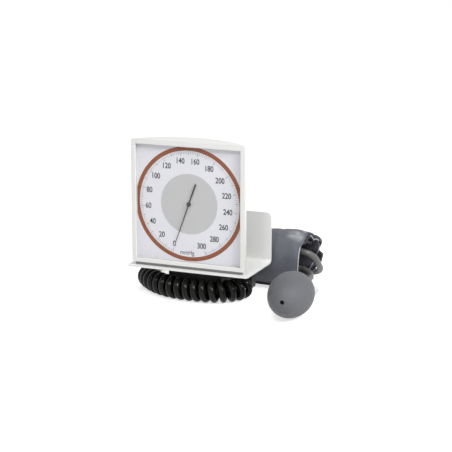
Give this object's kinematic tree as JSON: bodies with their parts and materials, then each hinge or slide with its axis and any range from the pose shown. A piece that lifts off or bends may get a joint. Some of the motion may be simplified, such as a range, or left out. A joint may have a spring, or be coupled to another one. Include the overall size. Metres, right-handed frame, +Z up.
{
  "type": "aneroid sphygmomanometer",
  "caption": "Desk blood pressure gauge: square case with round dial and pointer on a bent tray with basket, curly hose, rolled arm cuff and hand bulb with release valve.",
  "frame": {"origin": "on the table, under the foot's rubber pad, midway across the tray and midway from its front lip to its back wall", "axes": "+Z up, +X to the right along the dial, -Y towards the reader"},
  "size_m": [0.2594, 0.2223, 0.194],
  "materials": {
    "housing_white": "fine-textured white moulding",
    "tray_white": "smooth white powder coat",
    "black_plastic": "moulded black",
    "rubber_black": "matt rubber",
    "steel": "bright zinc steel",
    "brass": "turned brass",
    "dial": "printed white enamel",
    "window": "clear flat window",
    "pointer_black": "matt black",
    "capsule_metal": "beryllium copper",
    "hose_black": "glossy black",
    "tube_grey": "smooth grey latex-free tube",
    "fitting_plastic": "moulded",
    "cuff_cloth": "blue-grey woven nylon",
    "cuff_inside": "dark loop lining",
    "bulb_grey": "matt grey rubber",
    "chrome": "bright plated"
  },
  "bodies": {
    "base": {"tray": "tray_white", "pedestal": "black_plastic", "foot_pad": "rubber_black", "pedestal_screws": "steel", "housing_spacer": "black_plastic", "rear_shell": "housing_white", "front_bezel": "housing_white", "window": "window", "window_gasket": "rubber_black", "dial_plate": "dial", "housing_screws": "steel", "hairspring": "capsule_metal", "front_plate": "brass", "rear_plate": "brass", "movement_base": "brass", "rear_pillars": "brass", "front_pillars": "brass", "plate_screws": "steel", "base_screws": "steel", "capsule": "capsule_metal", "inlet_elbow": "black_plastic", "elbow_nut": "brass", "link_hose": "hose_black", "hose_block": "black_plastic", "block_nut": "brass", "coil_hose": "hose_black", "coil_lead_gauge": "hose_black", "coil_lead_cuff": "hose_black", "connector_plug": "fitting_plastic", "connector_socket": "fitting_plastic", "cuff_tube": "tube_grey", "bulb_tube": "tube_grey", "cuff_wrap": "cuff_cloth", "cuff_core": "cuff_inside", "bulb": "bulb_grey", "inlet_seat": "rubber_black", "valve_body": "chrome", "hose_nipple": "chrome"},
    "pointer": {"pointer": "pointer_black", "pinion_arbor": "brass"},
    "sector": {"sector_gear": "brass"},
    "rocker": {"rocking_shaft": "steel"},
    "capsule_boss": {"capsule_boss": "brass"},
    "inlet_flap": {"inlet_flap": "rubber_black"},
    "outlet_flap": {"outlet_flap": "rubber_black"},
    "needle": {"valve_needle": "chrome"},
    "knob": {"valve_knob": "chrome"}
  },
  "joints": [
    {"name": "pointer_spin", "type": "hinge", "parent": "base", "child": "pointer", "pos_m": [0, -0.036, 0.119], "axis": [0, 1, 0], "range_deg": [0, 320], "stiffness_Nm_per_rad": 0.0002},
    {"name": "sector_swing", "type": "hinge", "parent": "base", "child": "sector", "pos_m": [0.008, -0.036, 0.08884], "axis": [0, 1, 0], "range_deg": [-26.67, 0]},
    {"name": "rocker_swing", "type": "hinge", "parent": "base", "child": "rocker", "pos_m": [0.008, -0.0158, 0.119], "axis": [0, 0, 1], "range_deg": [0, 17.51]},
    {"name": "capsule_lift", "type": "slide", "parent": "base", "child": "capsule_boss", "axis": [0, -1, 0], "range_m": [0, 0.0023]},
    {"name": "inlet_flap_lift", "type": "slide", "parent": "base", "child": "inlet_flap", "axis": [-0.1044, 0.9935, -0.0454], "range_m": [0, 0.001], "stiffness_N_per_m": 20},
    {"name": "outlet_flap_lift", "type": "slide", "parent": "base", "child": "outlet_flap", "axis": [-0.1044, 0.9935, -0.0454], "range_m": [0, 0.0015], "stiffness_N_per_m": 20},
    {"name": "needle_travel", "type": "slide", "parent": "base", "child": "needle", "axis": [0.7649, 0.0511, -0.6421], "range_m": [0, 0.00105]},
    {"name": "knob_turn", "type": "hinge", "parent": "needle", "child": "knob", "pos_m": [0.12845, 0.01263, 0.02391], "axis": [0.7649, 0.0511, -0.6421], "range_deg": [0, 540]}
  ],
  "couplings": [
    {"joint": "sector_swing", "follows": "pointer_spin", "ratio": -0.083333},
    {"joint": "rocker_swing", "follows": "pointer_spin", "ratio": 0.054688},
    {"joint": "capsule_lift", "follows": "pointer_spin", "m_per_rad": 0.00041181},
    {"joint": "needle_travel", "follows": "knob_turn", "m_per_rad": 0.00011141}
  ]
}
